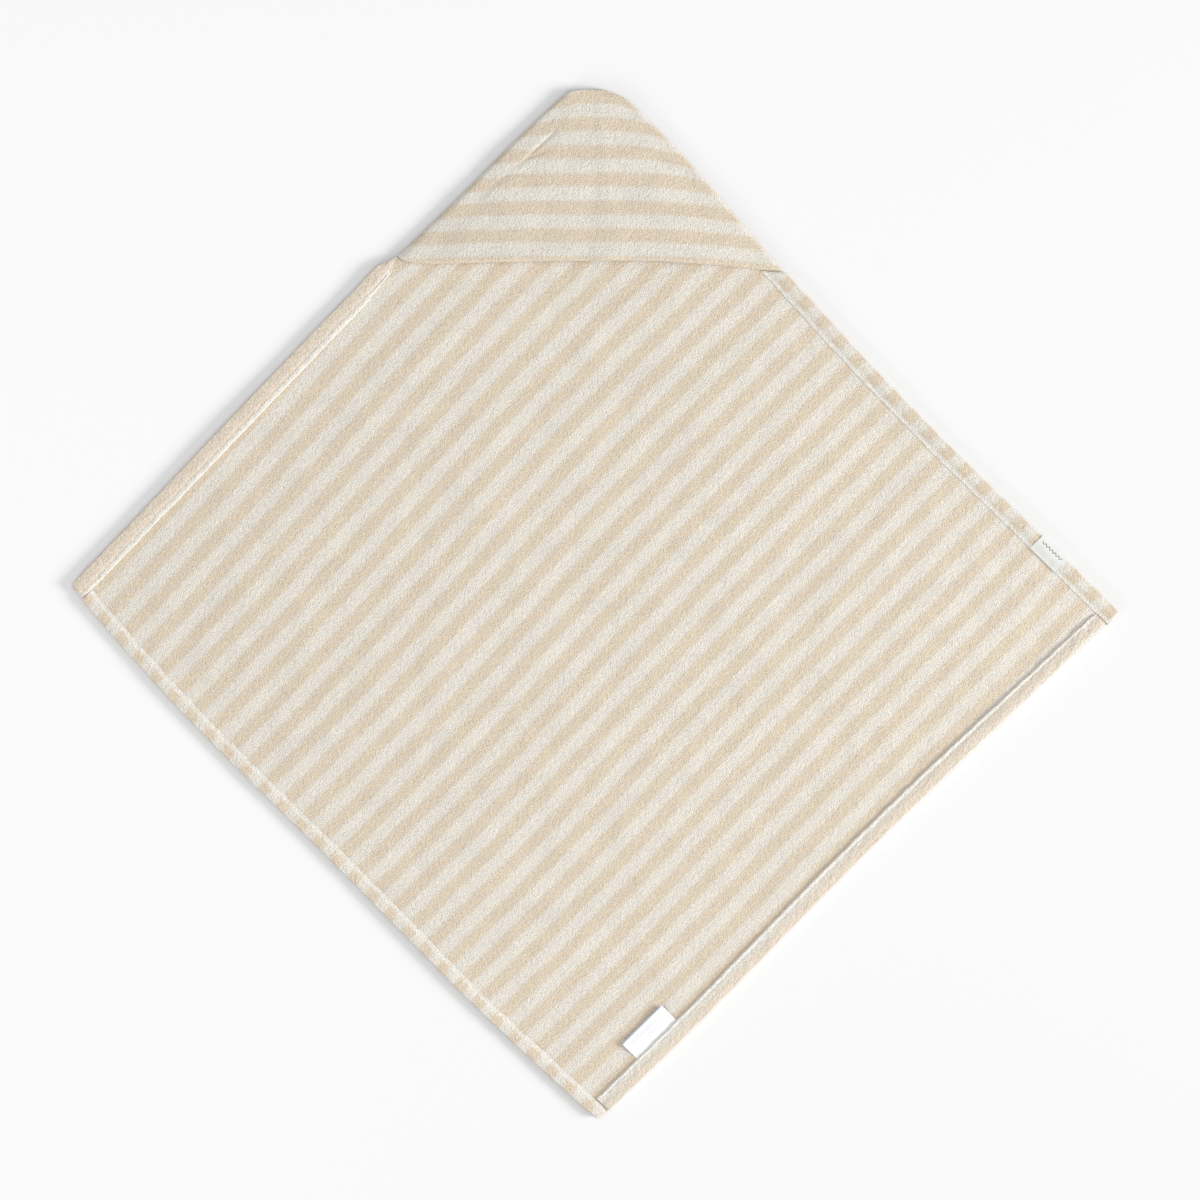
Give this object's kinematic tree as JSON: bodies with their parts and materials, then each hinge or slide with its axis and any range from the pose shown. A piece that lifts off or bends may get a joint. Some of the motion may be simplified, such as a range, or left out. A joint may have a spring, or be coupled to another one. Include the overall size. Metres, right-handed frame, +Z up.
{
  "type": "hooded baby towel",
  "caption": "Square striped terry towel laid flat, hood sewn over one corner, turned hems, woven tag and loose care label pages; corners fold over and the hood opens",
  "frame": {"origin": "on the surface the towel lies on, under the middle of its outline", "axes": "+Z up from the surface, +Y from the foot corner to the tip of the hood, +X to the right, seen from above"},
  "size_m": [1.0611, 1.0429, 0.0188],
  "materials": {
    "terry_stripes": "beige and cream striped cotton terry, matt",
    "terry_hem": "turned cotton terry, matt",
    "thread": "cream sewing thread",
    "woven_tag": "off-white woven tape",
    "care_label": "white satin label tape"
  },
  "bodies": {
    "towel_middle": {"towel_middle": "terry_stripes", "hem_upper_left_middle": "terry_hem", "thread_upper_left_middle": "thread", "hem_upper_right_middle": "terry_hem", "thread_upper_right_middle": "thread", "hem_lower_right_middle": "terry_hem", "thread_lower_right_middle": "thread", "hem_lower_left_middle": "terry_hem", "thread_lower_left_middle": "thread"},
    "left_corner": {"towel_left_corner": "terry_stripes", "hem_upper_left_left_corner": "terry_hem", "thread_upper_left_left_corner": "thread", "hem_lower_left_left_corner": "terry_hem", "thread_lower_left_left_corner": "thread"},
    "right_corner": {"towel_right_corner": "terry_stripes", "hem_upper_right_right_corner": "terry_hem", "thread_upper_right_right_corner": "thread", "hem_lower_right_right_corner": "terry_hem", "thread_lower_right_right_corner": "thread", "brand_label": "woven_tag"},
    "foot_corner": {"towel_foot_corner": "terry_stripes", "hem_lower_right_foot_corner": "terry_hem", "thread_lower_right_foot_corner": "thread", "hem_lower_left_foot_corner": "terry_hem", "thread_lower_left_foot_corner": "thread"},
    "hood_corner": {"towel_hood_corner": "terry_stripes", "hem_upper_left_hood_corner": "terry_hem", "thread_upper_left_hood_corner": "thread", "hem_upper_right_hood_corner": "terry_hem", "thread_upper_right_hood_corner": "thread", "thread_hood_seam_left": "thread", "thread_hood_seam_right": "thread"},
    "hood_front": {"hood_front_panel": "terry_stripes", "hood_mouth_hem": "terry_hem", "thread_hood_mouth": "thread"},
    "care_label_back": {"care_label_back_page": "care_label"},
    "care_label_front": {"care_label_front_page": "care_label"}
  },
  "joints": [
    {"name": "hood_lift", "type": "hinge", "parent": "towel_middle", "child": "hood_corner", "pos_m": [0, 0.318, 0.0085], "axis": [1, 0, 0], "range_deg": [0, 90]},
    {"name": "hood_open", "type": "hinge", "parent": "hood_corner", "child": "hood_front", "pos_m": [0, 0.5185, 0.0036], "axis": [-1, 0, 0], "range_deg": [0, 25]},
    {"name": "left_corner_wrap", "type": "hinge", "parent": "towel_middle", "child": "left_corner", "pos_m": [-0.27, 0, 0.0085], "axis": [0, 1, 0], "range_deg": [0, 165]},
    {"name": "right_corner_wrap", "type": "hinge", "parent": "towel_middle", "child": "right_corner", "pos_m": [0.27, 0, 0.0085], "axis": [0, -1, 0], "range_deg": [0, 165]},
    {"name": "foot_corner_fold", "type": "hinge", "parent": "towel_middle", "child": "foot_corner", "pos_m": [0, -0.27, 0.0085], "axis": [-1, 0, 0], "range_deg": [0, 160]},
    {"name": "care_label_flip", "type": "hinge", "parent": "foot_corner", "child": "care_label_back", "pos_m": [0.06161, -0.44137, 0.0033], "axis": [0.7039, 0.7103, 0], "range_deg": [0, 70]},
    {"name": "care_label_page_turn", "type": "hinge", "parent": "care_label_back", "child": "care_label_front", "pos_m": [0.06161, -0.44137, 0.004], "axis": [0.7039, 0.7103, 0], "range_deg": [0, 40]}
  ]
}
